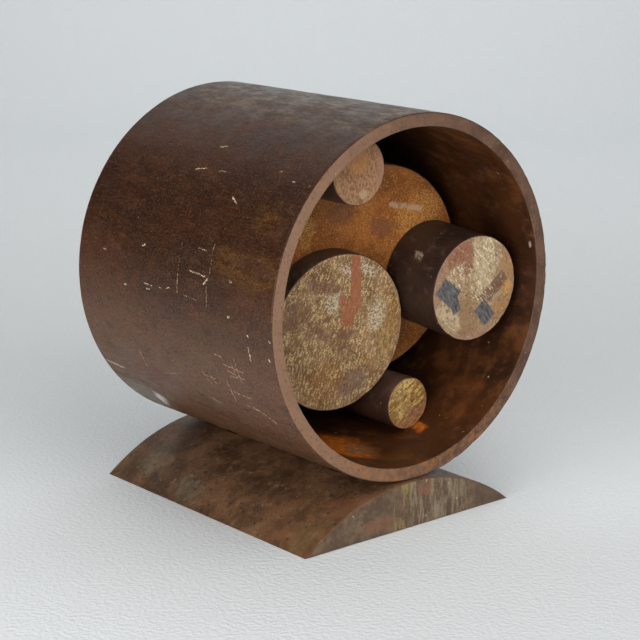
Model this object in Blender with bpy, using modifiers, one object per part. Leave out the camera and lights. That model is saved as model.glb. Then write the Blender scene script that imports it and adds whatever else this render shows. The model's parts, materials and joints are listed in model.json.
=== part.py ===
"""Magnetic desk sculpture: a short steel pipe lying on a round-topped steel base, with steel
slugs held inside it by magnets. Metres, +Z up, -Y is the open front of the pipe. The origin is on
the ground, under the pipe's axis and under the middle of the base's length."""

from math import asin, cos, radians, sin, sqrt

import bmesh
import bpy
from mathutils import Euler, Matrix

INCH = 0.0254
GAP = 0.0003  # between pieces that touch
SLEEVE_WALL = 0.0015
EDGE = 0.0004  # broken edges of cut steel

# base: a segment cut from a round bar
BASE_LENGTH = 6 * INCH
BASE_CHORD = 5 * INCH
BASE_BAR_RADIUS = 4 * INCH
BASE_X = -0.0031
BASE_MAGNET_Y = 0.038
BASE_MAGNET = (0.0127, 0.0095)  # every magnet: radius, length

# pipe
PIPE_RADIUS = 6.625 * INCH / 2
PIPE_WALL = 0.25 * INCH
PIPE_LENGTH = 5.75 * INCH
PIPE_SETBACK = 0.0016  # front of the pipe behind the front of the base
PLATE_THICKNESS = 0.25 * INCH
PLATE_RECESS = 0.25 * INCH
TACK_WELDS = 4
TACK_RADIUS = 0.0022
TACK_LENGTH = 0.014

# rods lying along the pipe's wall: centre (across, up) from the pipe's axis
UPPER_ROD_CENTRE = (-0.0214, 0.0582)
UPPER_ROD_RADIUS = 0.0153
UPPER_ROD_DEPTH = 0.0161  # front face behind the front of the pipe
UPPER_ROD_MAGNET = (0.0080, 0.0095)
LOWER_ROD_CENTRE = (0.0242, -0.0599)
LOWER_ROD_RADIUS = 0.5 * INCH
LOWER_ROD_DEPTH = 0.0310
LOWER_ROD_MAGNET = (0.00635, 0.0095)

# leaning stack: the large disc on its carrier, with a disc and a slug on its face
STACK_CENTRE = (0.0163, 0.0035)
STACK_DEPTH = 0.0480
STACK_DROOP = radians(3.1)
STACK_SWING = radians(-3.45)
LARGE_DISC_RADIUS = 0.0505
LARGE_DISC_THICKNESS = 0.5 * INCH
CARRIER_RADIUS = 1.0 * INCH
CARRIER_FRONT_MAGNET = (0.0127, 0.0095)
CARRIER_REAR_MAGNET = (0.0160, 0.0127)
LEFT_DISC_CENTRE = (-0.0286, -0.0237)
LEFT_DISC_RADIUS = 0.0376
LEFT_DISC_THICKNESS = 0.0120
LEFT_DISC_MAGNET = (0.0127, 0.00635)
RIGHT_SLUG_CENTRE = (0.0332, -0.0052)
RIGHT_SLUG_RADIUS = 1.0 * INCH
RIGHT_SLUG_LENGTH = 1.375 * INCH
RIGHT_SLUG_MAGNET = (0.0127, 0.0095)

# sides of the round pieces
PIPE_SIDES = 128
BAR_SIDES = 160
DISC_SIDES = 64
MAGNET_SIDES = 24

# worked out from the above
BASE_HEIGHT = BASE_BAR_RADIUS - sqrt(BASE_BAR_RADIUS**2 - (BASE_CHORD / 2) ** 2)
BAR_CENTRE_Z = BASE_HEIGHT - BASE_BAR_RADIUS
PIPE_Z = BAR_CENTRE_Z + sqrt((BASE_BAR_RADIUS + PIPE_RADIUS + GAP) ** 2 - BASE_X**2)
PIPE_FRONT_Y = -BASE_LENGTH / 2 + PIPE_SETBACK
PLATE_DEPTH = PIPE_LENGTH - PLATE_RECESS - PLATE_THICKNESS
STACK_LEAN = asin(sqrt(1 - (cos(STACK_DROOP) * cos(STACK_SWING)) ** 2))
CARRIER_REAR_DEPTH = PLATE_DEPTH - GAP - CARRIER_RADIUS * sin(STACK_LEAN)
CARRIER_LENGTH = (
    (CARRIER_REAR_DEPTH - STACK_DEPTH) / cos(STACK_LEAN) - LARGE_DISC_THICKNESS - GAP
)


def new_collection(name):
    found = bpy.data.collections.new(name)
    bpy.context.scene.collection.children.link(found)
    return found


def new_material(name, colour, roughness, metallic):
    found = bpy.data.materials.new(name)
    found.use_nodes = True
    shader = found.node_tree.nodes["Principled BSDF"]
    shader.inputs["Base Color"].default_value = (*colour, 1)
    shader.inputs["Roughness"].default_value = roughness
    shader.inputs["Metallic"].default_value = metallic
    found.diffuse_color = (*colour, 1)
    return found


def add_object(name, mesh, parent, location=(0, 0, 0), collection=None):
    """A mesh placed in its parent's frame, in which +Z points out of the front."""
    found = bpy.data.objects.new(name, mesh)
    (collection or parts).objects.link(found)
    found.parent = parent
    found.location = location
    return found


def add_empty(name, parent, location, rotation=(0, 0, 0)):
    found = add_object(name, None, parent, location)
    found.rotation_euler = Euler(rotation)
    found.empty_display_size = 0.02
    return found


def shade_round(mesh):
    mesh.shade_smooth()
    mesh.set_sharp_from_angle(angle=radians(30))


def disc_mesh(name, radius, length, sides):
    """A cylinder from z = 0 down to z = -length."""
    form = bmesh.new()
    bmesh.ops.create_cone(
        form,
        cap_ends=True,
        segments=sides,
        radius1=radius,
        radius2=radius,
        depth=length,
        matrix=Matrix.Translation((0, 0, -length / 2)),
    )
    mesh = bpy.data.meshes.new(name)
    form.to_mesh(mesh)
    form.free()
    shade_round(mesh)
    return mesh


def bead_mesh(name):
    """A weld bead: a ball drawn out along y."""
    form = bmesh.new()
    shape = Matrix.Diagonal((TACK_RADIUS, TACK_LENGTH / 2, TACK_RADIUS, 1))
    bmesh.ops.create_uvsphere(form, u_segments=8, v_segments=6, radius=1, matrix=shape)
    mesh = bpy.data.meshes.new(name)
    form.to_mesh(mesh)
    form.free()
    shade_round(mesh)
    return mesh


def box_mesh(name, size, centre):
    form = bmesh.new()
    place = Matrix.Translation(centre) @ Matrix.Diagonal((*size, 1))
    bmesh.ops.create_cube(form, size=1, matrix=place)
    mesh = bpy.data.meshes.new(name)
    form.to_mesh(mesh)
    form.free()
    return mesh


def break_edges(piece):
    edge = piece.modifiers.new("broken_edges", "BEVEL")
    edge.width = EDGE
    edge.segments = 1
    edge.limit_method = "ANGLE"
    edge.angle_limit = radians(30)


def cut(piece, cutter, operation="DIFFERENCE"):
    step = piece.modifiers.new(cutter.name, "BOOLEAN")
    step.object = cutter
    step.operation = operation
    cutter.hide_render = True
    cutter.display_type = "WIRE"


def steel_disc(name, parent, location, radius, length, finish):
    piece = add_object(name, disc_mesh(name, radius, length, DISC_SIDES), parent, location)
    piece.data.materials.append(finish)
    break_edges(piece)
    return piece


def turned_ring(name, parent, location, inner, outer, length, sides, finish, edge=0.0):
    """A ring from z = 0 down to z = -length: its section, turned about z."""
    corners = [(outer, 0), (outer, -length), (inner, -length), (inner, 0)]
    mesh = bpy.data.meshes.new(name)
    mesh.from_pydata([(x, 0, z) for x, z in corners], [(0, 1), (1, 2), (2, 3), (3, 0)], [])
    ring = add_object(name, mesh, parent, location)
    ring.data.materials.append(finish)
    turn = ring.modifiers.new("turn", "SCREW")
    turn.steps = turn.render_steps = sides
    turn.use_merge_vertices = True
    turn.merge_threshold = 0.00001
    if edge:
        break_edges(ring)
    return ring


def seat_magnet(name, piece, face, magnet, sleeve_name, sleeve_slack=0.0):
    """A magnet in a brass sleeve, in a blind pocket of a piece. face is a frame in the piece's
    own space: its origin on the pocket's mouth, its +Z out of the mouth."""
    radius, length = magnet
    sleeve_inner = radius + GAP
    sleeve_outer = sleeve_inner + SLEEVE_WALL
    depth = length + 2 * GAP
    pocket = disc_mesh(name + "_pocket", sleeve_outer + GAP, depth + 0.01, MAGNET_SIDES)
    cutter = add_object(name + "_pocket", pocket, piece.parent, collection=cutters)
    local = piece.matrix_basis @ face
    cutter.matrix_basis = local @ Matrix.Translation((0, 0, 0.01))
    cut(piece, cutter)
    place = local @ Matrix.Translation((0, 0, -GAP))
    core = add_object(name, disc_mesh(name, radius, length, MAGNET_SIDES), piece.parent)
    core.matrix_basis = place
    core.data.materials.append(nickel)
    ring = turned_ring(
        sleeve_name, piece.parent, (0, 0, 0), sleeve_inner, sleeve_outer, length, MAGNET_SIDES, brass
    )
    ring.matrix_basis = place


def rear_face(length):
    """The frame of the rear face of a piece that runs from z = 0 down to z = -length."""
    return Matrix.Translation((0, 0, -length)) @ Matrix.Rotation(radians(180), 4, "X")


def make_base():
    """The segment, cut from its bar by a block, with two magnets let into the crest."""
    stand = add_empty("base_centre", None, (BASE_X, 0, 0))
    bar = disc_mesh("base_block", BASE_BAR_RADIUS, BASE_LENGTH, BAR_SIDES)
    block = add_object("base_block", bar, stand, (0, -BASE_LENGTH / 2, BAR_CENTRE_Z))
    block.rotation_euler = Euler((radians(90), 0, 0))
    block.data.materials.append(dark_steel)
    saw = box_mesh("bar_left", (BASE_CHORD * 2, BASE_LENGTH * 2, 0.2), (0, 0, 0.1))
    keep = add_object("bar_left", saw, stand, collection=cutters)
    cut(block, keep, "INTERSECT")
    break_edges(block)
    pocket_radius = BASE_MAGNET[0] + 2 * GAP + SLEEVE_WALL
    mouth_z = sqrt(BASE_BAR_RADIUS**2 - pocket_radius**2)
    for side, name in ((-1, "front"), (1, "rear")):
        # the block's own frame has z along the pipe and y up
        mouth = Matrix.Translation((0, mouth_z, -BASE_LENGTH / 2 - side * BASE_MAGNET_Y))
        mouth = mouth @ Matrix.Rotation(radians(-90), 4, "X")
        seat_magnet(f"base_magnet_{name}", block, mouth, BASE_MAGNET, f"base_sleeve_{name}")


def make_pipe():
    """The pipe, its back plate let into the rear end, and the tack welds that hold the plate."""
    inner = PIPE_RADIUS - PIPE_WALL
    turned_ring(
        "pipe", axis, (0, 0, 0), inner, PIPE_RADIUS, PIPE_LENGTH, PIPE_SIDES, dark_steel, EDGE
    )
    steel_disc(
        "back_plate", axis, (0, 0, -PLATE_DEPTH), inner - GAP, PLATE_THICKNESS, dark_steel
    )
    bead = bead_mesh("tack_weld")
    bead.materials.append(dark_steel)
    ring_radius = inner - 2 * GAP - TACK_RADIUS
    depth = PLATE_DEPTH + PLATE_THICKNESS + GAP + TACK_RADIUS
    for number in range(TACK_WELDS):
        angle = radians(360 / TACK_WELDS * (number + 0.5))
        place = (ring_radius * cos(angle), ring_radius * sin(angle), -depth)
        weld = add_object(f"tack_weld_{number + 1}", bead, axis, place)
        weld.rotation_euler = Euler((0, 0, angle))


def make_rod(name, centre, radius, depth, magnet, finish):
    """A rod lying along the wall, from its front face back to the back plate."""
    length = PLATE_DEPTH - GAP - depth
    seat = add_empty(name + "_front", axis, (*centre, -depth))
    rod = steel_disc(name, seat, (0, 0, 0), radius, length, finish)
    seat_magnet(name + "_magnet", rod, rear_face(length), magnet, name + "_sleeve")


def make_stack():
    """The large disc and its carrier. The carrier's rear edge touches the back plate."""
    disc = steel_disc(
        "large_disc", lean, (0, 0, 0), LARGE_DISC_RADIUS, LARGE_DISC_THICKNESS, orange_rust
    )
    front_z = disc.location.z - LARGE_DISC_THICKNESS - GAP
    carrier = steel_disc(
        "carrier_slug", lean, (0, 0, front_z), CARRIER_RADIUS, CARRIER_LENGTH, dark_steel
    )
    seat_magnet(
        "carrier_front_magnet", carrier, Matrix(), CARRIER_FRONT_MAGNET, "carrier_front_sleeve"
    )
    rear = rear_face(CARRIER_LENGTH)
    seat_magnet(
        "carrier_rear_magnet", carrier, rear, CARRIER_REAR_MAGNET, "carrier_rear_sleeve"
    )


def make_face_piece(name, centre, radius, length, magnet, finish):
    """A disc or slug standing on the large disc's front face."""
    seat = add_empty(name + "_front", lean, (*centre, GAP + length))
    piece = steel_disc(name, seat, (0, 0, 0), radius, length, finish)
    seat_magnet(name + "_magnet", piece, rear_face(length), magnet, name + "_sleeve")


for old in list(bpy.data.objects):
    bpy.data.objects.remove(old, do_unlink=True)
parts = new_collection("magnetic_desk_sculpture")
cutters = new_collection("cutters")
dark_steel = new_material("oxidised_steel", (0.085, 0.055, 0.048), 0.45, 0.8)
orange_rust = new_material("orange_rust", (0.42, 0.17, 0.06), 0.7, 0.3)
tan_steel = new_material("tan_rusted_steel", (0.55, 0.33, 0.18), 0.5, 0.6)
pale_steel = new_material("pale_sawn_steel", (0.58, 0.47, 0.36), 0.45, 0.7)
brass = new_material("brass", (0.72, 0.53, 0.25), 0.3, 1.0)
nickel = new_material("nickel", (0.75, 0.74, 0.71), 0.2, 1.0)

# the pipe's frame: x across, y up, z out of the front, origin on the front's centre
axis = add_empty("pipe_axis", None, (0, PIPE_FRONT_Y, PIPE_Z), (radians(90), 0, 0))
lean = add_empty("stack_lean", axis, (*STACK_CENTRE, -STACK_DEPTH), (STACK_DROOP, STACK_SWING, 0))

make_base()
make_pipe()
make_rod(
    "upper_rod", UPPER_ROD_CENTRE, UPPER_ROD_RADIUS, UPPER_ROD_DEPTH, UPPER_ROD_MAGNET, tan_steel
)
make_rod(
    "lower_rod", LOWER_ROD_CENTRE, LOWER_ROD_RADIUS, LOWER_ROD_DEPTH, LOWER_ROD_MAGNET, tan_steel
)
make_stack()
make_face_piece(
    "left_disc", LEFT_DISC_CENTRE, LEFT_DISC_RADIUS, LEFT_DISC_THICKNESS, LEFT_DISC_MAGNET,
    tan_steel,
)
make_face_piece(
    "right_slug", RIGHT_SLUG_CENTRE, RIGHT_SLUG_RADIUS, RIGHT_SLUG_LENGTH, RIGHT_SLUG_MAGNET,
    pale_steel,
)
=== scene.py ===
"""Looks of the magnetic desk sculpture: weathered steel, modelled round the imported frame."""

import json
from math import cos, pi, radians, sin, sqrt

import bmesh
import bpy
import numpy as np
from mathutils import Matrix, Quaternion, Vector, noise


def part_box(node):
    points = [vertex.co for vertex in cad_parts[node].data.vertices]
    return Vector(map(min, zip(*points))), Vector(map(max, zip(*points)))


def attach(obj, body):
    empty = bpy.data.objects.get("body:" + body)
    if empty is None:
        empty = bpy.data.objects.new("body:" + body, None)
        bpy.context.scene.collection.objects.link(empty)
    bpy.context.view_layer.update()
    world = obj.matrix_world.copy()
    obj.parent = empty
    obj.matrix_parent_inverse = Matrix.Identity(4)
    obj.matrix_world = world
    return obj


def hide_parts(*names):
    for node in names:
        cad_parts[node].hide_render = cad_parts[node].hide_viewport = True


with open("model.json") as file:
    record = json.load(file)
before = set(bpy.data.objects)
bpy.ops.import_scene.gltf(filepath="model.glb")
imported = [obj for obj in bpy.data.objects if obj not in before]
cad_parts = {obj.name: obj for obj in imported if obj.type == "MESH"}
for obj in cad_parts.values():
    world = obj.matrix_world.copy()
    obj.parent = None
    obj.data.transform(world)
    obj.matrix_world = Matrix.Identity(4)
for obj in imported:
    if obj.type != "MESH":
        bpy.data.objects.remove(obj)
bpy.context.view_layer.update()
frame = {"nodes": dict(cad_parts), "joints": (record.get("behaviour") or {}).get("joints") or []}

MM = 0.001

# camera, at the photograph's viewing angle
CAMERA_AZIMUTH = radians(-40.55)
CAMERA_ELEVATION = radians(14.02)
CAMERA_DISTANCE = 0.92
CAMERA_LENS = 105.8
CAMERA_ROLL = 0.0043
CAMERA_TARGET = Vector((0.0144, 0.0093, 0.0790))

# sweep: how far behind the object the floor begins to rise, its bend's radius and steps, its
# final slope, the slope's length, and how far the floor reaches to the front and the sides
SWEEP_START = 1.15
SWEEP_BEND = 0.6
SWEEP_STEPS = 16
SWEEP_RISE = radians(80)
SWEEP_WALL = 1.5
SWEEP_SIDE = 8.0
# how much painted shade darkens the floor behind the object, and painted shadow in front of it
SHADE_BEHIND = 0.1
SHADOW_IN_FRONT = 0.1
# the specular level of every material
SHEEN = 0.3
# the room's own light, where most lights aim, and their tint
ROOM = (0.06, 0.056, 0.05, 1)
CENTRE = (0, 0, 0.08)
WARM = (1, 0.97, 0.93)
# softboxes: azimuth, elevation, distance, size, power, tint, where they aim
LIGHTS = (
    ("overhead", 10, 72, 1.3, (1.5, 1.5), 9.4, WARM, CENTRE),
    ("front", -10, 30, 1.5, (1.3, 0.8), 8.8, WARM, CENTRE),
    ("left", -70, 8, 0.85, (0.8, 0.5), 8.4, WARM, (0, 0, 0.05)),
    ("backdrop", -39, 68, 1.29, (2.0, 0.7), 9, (1, 0.97, 0.945), (0.95, 1.15, 0)),
)


# ---- measures taken from the frame


def joint(name):
    return next(found for found in frame["joints"] if found["name"] == name)


def points_of(node):
    mesh = frame["nodes"][node].data
    flat = np.empty(len(mesh.vertices) * 3)
    mesh.vertices.foreach_get("co", flat)
    return flat.reshape(-1, 3)


def face_frame(node, outward):
    """A round node's own frame, with its origin on the centre of the face that looks outward, +Z
    outward, +X across and +Y up. With it come the node's radius and length."""
    z = Vector(outward).normalized()
    x = (Vector((1, 0, 0)) - z * z.x).normalized()
    turn = Matrix((x, z.cross(x), z)).transposed()
    local = points_of(node) @ np.array(turn)
    low, high = local.min(0), local.max(0)
    middle = (low + high) / 2
    origin = turn @ Vector((middle[0], middle[1], high[2]))
    place = Matrix.Translation(origin) @ turn.to_4x4()
    return place, (high[0] - low[0]) / 2, high[2] - low[2]


def radius_of(node, outward):
    """A round node's radius in millimetres."""
    return face_frame(node, outward)[1] / MM


UP = Vector((0, 0, 1))
FRONT = Vector((0, -1, 0))
LEAN = Vector(joint("left_disc_pull")["axis"])
PIPE_AXIS = Vector(joint("pipe_turn")["pos_m"])
GAP = 0.3 * MM
# facets round the pipe, the slugs, and the magnets with their sleeves
PIPE_SIDES = 360
SLUG_SIDES = 192
SMALL_SIDES = 96
# the pipe's radii in millimetres, for laying marks out on its outside and inside
OUTSIDE = 84.1
BORE = 77.8
MAGNETS = (
    ("base_{}_front", "base", UP),
    ("base_{}_rear", "base", UP),
    ("upper_rod_{}", "upper_rod", FRONT),
    ("lower_rod_{}", "lower_rod", FRONT),
    ("left_disc_{}", "left_disc", LEAN),
    ("right_slug_{}", "right_slug", LEAN),
    ("carrier_front_{}", "disc_stack", LEAN),
    ("carrier_rear_{}", "disc_stack", LEAN),
)


# ---- meshes


def fillet(corner, before, after, radius, steps=4):
    """Points that round off a corner of an outline."""
    corner, before, after = Vector(corner), Vector(before), Vector(after)
    start = corner + (before - corner).normalized() * radius
    end = corner + (after - corner).normalized() * radius
    points = []
    for step in range(steps + 1):
        t = step / steps
        points.append(start * (1 - t) ** 2 + corner * (2 * t * (1 - t)) + end * t**2)
    return [tuple(point) for point in points]


def outline_points(corners, closed, step):
    """An outline's corners (radius, z, rounding, material of the stretch after it) as finely spaced
    points, each with the material of the stretch that follows it."""
    count = len(corners)
    rounded = []
    for index, (r, z, rounding, material) in enumerate(corners):
        inner = closed or 0 < index < count - 1
        if rounding and inner:
            before = corners[index - 1][:2]
            after = corners[(index + 1) % count][:2]
            arc = fillet((r, z), before, after, rounding)
            rounded += [(point, material) for point in arc]
        else:
            rounded.append(((r, z), material))
    points = []
    last = len(rounded) if closed else len(rounded) - 1
    for index in range(last):
        (start, material), (end, _) = rounded[index], rounded[(index + 1) % len(rounded)]
        start, end = Vector(start), Vector(end)
        pieces = max(1, round((end - start).length / step))
        for number in range(pieces):
            points.append((tuple(start.lerp(end, number / pieces)), material))
    if not closed:
        points.append(rounded[-1])
    return points


def lathe(name, place, corners, materials, sides=SLUG_SIDES, step=1.5 * MM, closed=False):
    """A piece turned about its own z, from its outline."""
    points = outline_points(corners, closed, step)
    form = bmesh.new()
    rings = []
    for (r, z), _ in points:
        if r < 1e-7:
            rings.append([form.verts.new((0, 0, z))])
        else:
            angles = [2 * pi * side / sides for side in range(sides)]
            rings.append([form.verts.new((r * cos(a), r * sin(a), z)) for a in angles])
    pairs = len(rings) if closed else len(rings) - 1
    for index in range(pairs):
        ring, following = rings[index], rings[(index + 1) % len(rings)]
        for side in range(sides):
            nearby = (side + 1) % sides
            if len(ring) == 1:
                corner = (ring[0], following[side], following[nearby])
            elif len(following) == 1:
                corner = (ring[side], following[0], ring[nearby])
            else:
                corner = (ring[side], following[side], following[nearby], ring[nearby])
            form.faces.new(corner).material_index = points[index][1]
    bmesh.ops.recalc_face_normals(form, faces=form.faces)
    return new_piece(name, form, place, materials)


def new_piece(name, form, place, materials):
    mesh = bpy.data.meshes.new(name)
    form.to_mesh(mesh)
    form.free()
    for material in materials:
        mesh.materials.append(material)
    mesh.shade_smooth()
    mesh.set_sharp_from_angle(angle=radians(40))
    piece = bpy.data.objects.new(name, mesh)
    bpy.context.scene.collection.objects.link(piece)
    piece.matrix_world = place
    return piece


def wear(piece, depth, size, seed, power=2.0):
    """Sinks the surface here and there, never outwards, by up to depth."""
    mesh = piece.data
    normals = [vertex.normal.copy() for vertex in mesh.vertices]
    shift = Vector((seed * 7.3, seed * 3.1, seed * 5.7))
    for vertex, normal in zip(mesh.vertices, normals):
        spot = vertex.co / size + shift
        value = 0.65 * noise.noise(spot) + 0.35 * noise.noise(spot * 2.7)
        amount = min(1, max(0, 0.5 + value)) ** power
        vertex.co -= normal * depth * amount


# ---- materials


def srgb(red, green, blue):
    """A colour given in the usual 0 to 255 steps, as Blender's linear values."""
    return tuple(((value / 255 + 0.055) / 1.055) ** 2.4 for value in (red, green, blue)) + (1,)


class Surface:
    """A procedural material, built node by node. Lengths are millimetres in the piece's frame,
    and base is its colour so far."""

    def __init__(self, name):
        self.material = bpy.data.materials.new(name)
        self.material.use_nodes = True
        self.tree = self.material.node_tree
        self.shader = self.tree.nodes["Principled BSDF"]
        place = self.tree.nodes.new("ShaderNodeTexCoord").outputs["Object"]
        self.point = self.vector("MULTIPLY", place, (1000, 1000, 1000))
        self.base = None

    def plug(self, socket, value):
        if isinstance(value, bpy.types.NodeSocket):
            self.tree.links.new(value, socket)
        elif value is not None:
            socket.default_value = value

    def math(self, operation, first, second=None, clamp=False):
        node = self.tree.nodes.new("ShaderNodeMath")
        node.operation = operation
        node.use_clamp = clamp
        for socket, value in zip(node.inputs, (first, second)):
            self.plug(socket, value)
        return node.outputs[0]

    def vector(self, operation, first, second=None):
        node = self.tree.nodes.new("ShaderNodeVectorMath")
        node.operation = operation
        self.plug(node.inputs[0], first)
        if second is not None:
            self.plug(node.inputs["Scale" if operation == "SCALE" else 1], second)
        value_out = operation in ("LENGTH", "DOT_PRODUCT")
        return node.outputs["Value" if value_out else "Vector"]

    def split(self, vector):
        node = self.tree.nodes.new("ShaderNodeSeparateXYZ")
        self.plug(node.inputs[0], vector)
        return node.outputs

    def join(self, x, y, z=0.0):
        node = self.tree.nodes.new("ShaderNodeCombineXYZ")
        for socket, value in zip(node.inputs, (x, y, z)):
            self.plug(socket, value)
        return node.outputs[0]

    def noise(self, size, detail=3.0, roughness=0.55, point=None, stretch=None, seed=0.0):
        """Soft random values about 0.5, in lumps of this size."""
        point = self.point if point is None else point
        if stretch or seed:
            scale = stretch or (1, 1, 1)
            point = self.vector("MULTIPLY", point, scale)
            point = self.vector("ADD", point, (seed * 13.7, seed * 7.9, seed * 3.3))
        node = self.tree.nodes.new("ShaderNodeTexNoise")
        self.plug(node.inputs["Vector"], point)
        node.inputs["Scale"].default_value = 1 / size
        node.inputs["Detail"].default_value = detail
        node.inputs["Roughness"].default_value = roughness
        return node.outputs["Fac"]

    def lumps(self, size, detail, roughness, seed, low, high, to_low=0.0, to_high=1.0):
        """Noise with its values eased apart, as a mask."""
        return self.ease(self.noise(size, detail, roughness, seed=seed), low, high, to_low, to_high)

    def warp(self, point, size, amount, seed=0.0):
        """A point moved about at random, by up to amount, to make an edge ragged."""
        node = self.tree.nodes.new("ShaderNodeTexNoise")
        self.plug(node.inputs["Vector"], self.vector("ADD", point, (seed * 5.1, seed * 9.7, seed)))
        node.inputs["Scale"].default_value = 1 / size
        node.inputs["Detail"].default_value = 3.0
        away = self.vector("SUBTRACT", node.outputs["Color"], (0.5, 0.5, 0.5))
        return self.vector("ADD", point, self.vector("SCALE", away, amount * 2))

    def cells(self, size, point):
        """Distance to the nearest of scattered points, in cells of this size, and the cell's own
        random colour."""
        node = self.tree.nodes.new("ShaderNodeTexVoronoi")
        self.plug(node.inputs["Vector"], point)
        node.inputs["Scale"].default_value = 1 / size
        return node.outputs["Distance"], node.outputs["Color"]

    def ease(self, value, low, high, to_low=0.0, to_high=1.0):
        """A smooth step from to_low to to_high as the value goes from low to high."""
        node = self.tree.nodes.new("ShaderNodeMapRange")
        node.interpolation_type = "SMOOTHSTEP"
        for socket, number in zip(node.inputs, (value, low, high, to_low, to_high)):
            self.plug(socket, number)
        return node.outputs[0]

    def mix(self, amount, first, second):
        node = self.tree.nodes.new("ShaderNodeMix")
        node.data_type = "RGBA"
        self.plug(node.inputs[0], amount)
        self.plug(node.inputs[6], first)
        self.plug(node.inputs[7], second)
        return node.outputs[2]

    def lay(self, mask, colour):
        """Lays a colour over the base, where the mask is 1."""
        self.base = self.mix(mask, self.base, colour)

    def coat(self, mask, strength, colour):
        """As lay, but no more than this strength."""
        self.lay(self.math("MULTIPLY", mask, strength), colour)

    def add(self, height, mask, share):
        """The height, raised by this much where the mask is 1."""
        return self.math("ADD", height, self.math("MULTIPLY", mask, share))

    def cut(self, height, mask, share):
        return self.math("SUBTRACT", height, self.math("MULTIPLY", mask, share))

    def off(self, value, middle):
        return self.math("ABSOLUTE", self.math("SUBTRACT", value, middle))

    def either(self, first, second):
        return self.math("MAXIMUM", first, second)

    def both(self, first, second):
        return self.math("MULTIPLY", first, second)

    def patch(self, point, centre, radii, turn=0.0, soft=0.35):
        """A soft-edged oval, 1 inside and 0 outside, on the plane of the point's x and y."""
        node = self.tree.nodes.new("ShaderNodeMapping")
        node.vector_type = "TEXTURE"
        self.plug(node.inputs["Vector"], point)
        node.inputs["Location"].default_value = (*centre, 0)
        node.inputs["Rotation"].default_value = (0, 0, radians(turn))
        node.inputs["Scale"].default_value = (*radii, 1)
        flat = self.vector("MULTIPLY", node.outputs[0], (1, 1, 0))
        return self.ease(self.vector("LENGTH", flat), 1 + soft, 1 - soft)

    def slab(self, point, centre, half, turn=0.0, soft=0.12):
        """As patch, but a rectangle."""
        node = self.tree.nodes.new("ShaderNodeMapping")
        node.vector_type = "TEXTURE"
        self.plug(node.inputs["Vector"], point)
        node.inputs["Location"].default_value = (*centre, 0)
        node.inputs["Rotation"].default_value = (0, 0, radians(turn))
        node.inputs["Scale"].default_value = (*half, 1)
        x, y, _ = self.split(self.vector("ABSOLUTE", node.outputs[0]))
        return self.ease(self.either(x, y), 1 + soft, 1 - soft)

    def finish(self, roughness, metallic, height, relief):
        """Sets the shader. The bumps are height times relief, in millimetres."""
        self.plug(self.shader.inputs["Base Color"], self.base)
        self.plug(self.shader.inputs["Roughness"], roughness)
        self.plug(self.shader.inputs["Metallic"], metallic)
        self.shader.inputs["Specular IOR Level"].default_value = SHEEN
        bump = self.tree.nodes.new("ShaderNodeBump")
        bump.inputs["Strength"].default_value = 1.0
        bump.inputs["Distance"].default_value = relief * MM
        self.plug(bump.inputs["Height"], height)
        self.plug(self.shader.inputs["Normal"], bump.outputs[0])
        return self.material


def mottled_steel(s, dark, middle, pale, size=7.0, seed=0.0, stretch=None):
    """Oxidised steel: broad clouds, smaller mottling and fine grain, as the surface's base. Returns
    the mottling and the grain."""
    clouds = s.noise(size * 5, 4, 0.6, stretch=stretch, seed=seed)
    mottle = s.noise(size, 6, 0.68, stretch=stretch, seed=seed + 1)
    grain = s.noise(0.9, 3, 0.6, seed=seed + 2)
    s.base = s.mix(s.ease(clouds, 0.35, 0.66), dark, middle)
    s.lay(s.ease(mottle, 0.5, 0.78), pale)
    s.lay(s.ease(grain, 0.45, 0.3, 0.0, 0.45), dark)
    return mottle, grain


def specks(s, size, radius, rarity):
    """Scattered flecks, where rarity is the share of cells left bare."""
    point = s.warp(s.point, size * 0.3, size * 0.35)
    distance, tint = s.cells(size, point)
    chosen = s.ease(s.split(tint)[0], rarity, rarity + 0.02)
    return s.both(s.ease(distance, radius, radius * 0.6), chosen)


def marks(s, plane, strokes, broken=None):
    """Straight marks (start, end, half width), in millimetres on the plane, as one mask."""
    found = None
    for start, end, width in strokes:
        along = (end[0] - start[0], end[1] - start[1], 0)
        length = max(along[0] ** 2 + along[1] ** 2, 1e-6)
        from_start = s.vector("SUBTRACT", plane, (*start, 0))
        reach = s.vector("DOT_PRODUCT", from_start, along)
        share = s.math("MULTIPLY", reach, 1 / length, clamp=True)
        nearest = s.vector("SCALE", along, share)
        gap = s.vector("LENGTH", s.vector("SUBTRACT", from_start, nearest))
        mark = s.ease(gap, width, width * 0.35)
        found = mark if found is None else s.either(found, mark)
    return s.both(found, broken) if broken is not None else found


def joined(s, shape, plane, places):
    """One mask of several shapes, each a centre, its half sizes and its turn in degrees."""
    found = None
    for centre, half, turn in places:
        mask = shape(plane, centre, half, turn)
        found = mask if found is None else s.either(found, mask)
    return found


def patches(s, plane, ovals):
    return joined(s, s.patch, plane, ovals)


def slabs(s, plane, rectangles):
    return joined(s, s.slab, plane, rectangles)


# ---- the pipe


def around(depth, degrees):
    """A place on the pipe's unrolled outside: depth from the front, and height round from its
    left side, both in millimetres."""
    return depth, radians(degrees) * OUTSIDE


def on_pipe(strokes):
    return [(around(*start), around(*end), width) for start, end, width in strokes]


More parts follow.
